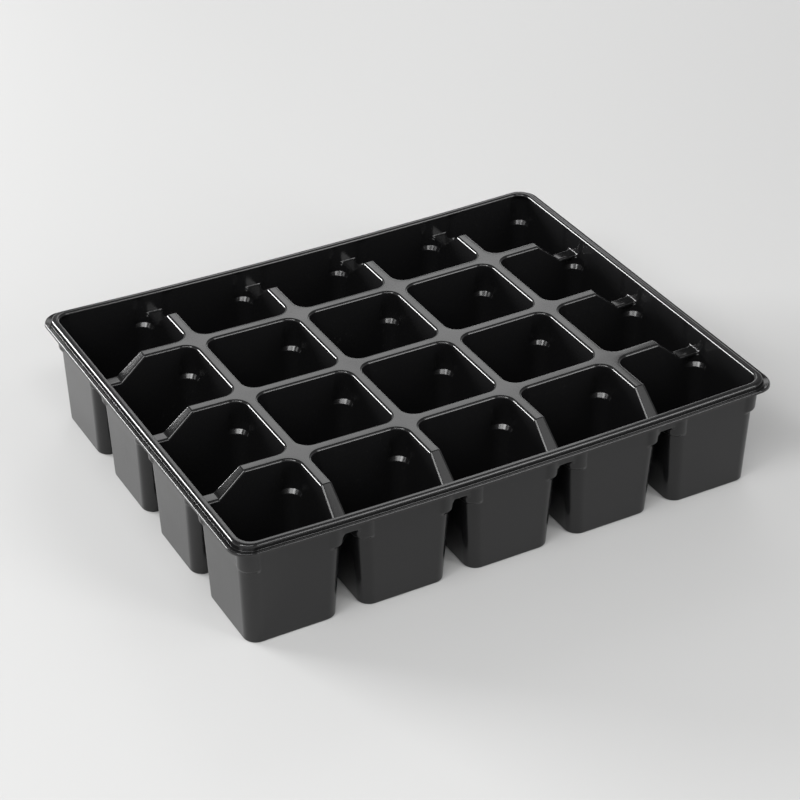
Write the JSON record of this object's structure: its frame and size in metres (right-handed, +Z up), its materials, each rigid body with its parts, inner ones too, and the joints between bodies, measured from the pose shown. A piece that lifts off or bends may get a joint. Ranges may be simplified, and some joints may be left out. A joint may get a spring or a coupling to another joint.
{
  "type": "seed tray",
  "caption": "Rectangular black plastic seed tray: a grid of open tapered planting cells with dipped dividers under one stepped rim.",
  "frame": {"origin": "centre of the tray's footprint, on the surface it stands on", "axes": "+X along the longer side of the rim, +Y along the shorter side, +Z up out of the cells"},
  "size_m": [0.399, 0.3214, 0.0807],
  "materials": {
    "black_plastic": "satin black thermoformed sheet"
  },
  "bodies": {
    "root": {"cell_row1_column1": "black_plastic", "cell_row1_column2": "black_plastic", "cell_row1_column3": "black_plastic", "cell_row1_column4": "black_plastic", "cell_row1_column5": "black_plastic", "cell_row2_column1": "black_plastic", "cell_row2_column2": "black_plastic", "cell_row2_column3": "black_plastic", "cell_row2_column4": "black_plastic", "cell_row2_column5": "black_plastic", "cell_row3_column1": "black_plastic", "cell_row3_column2": "black_plastic", "cell_row3_column3": "black_plastic", "cell_row3_column4": "black_plastic", "cell_row3_column5": "black_plastic", "cell_row4_column1": "black_plastic", "cell_row4_column2": "black_plastic", "cell_row4_column3": "black_plastic", "cell_row4_column4": "black_plastic", "cell_row4_column5": "black_plastic", "rim": "black_plastic"}
  },
  "joints": []
}
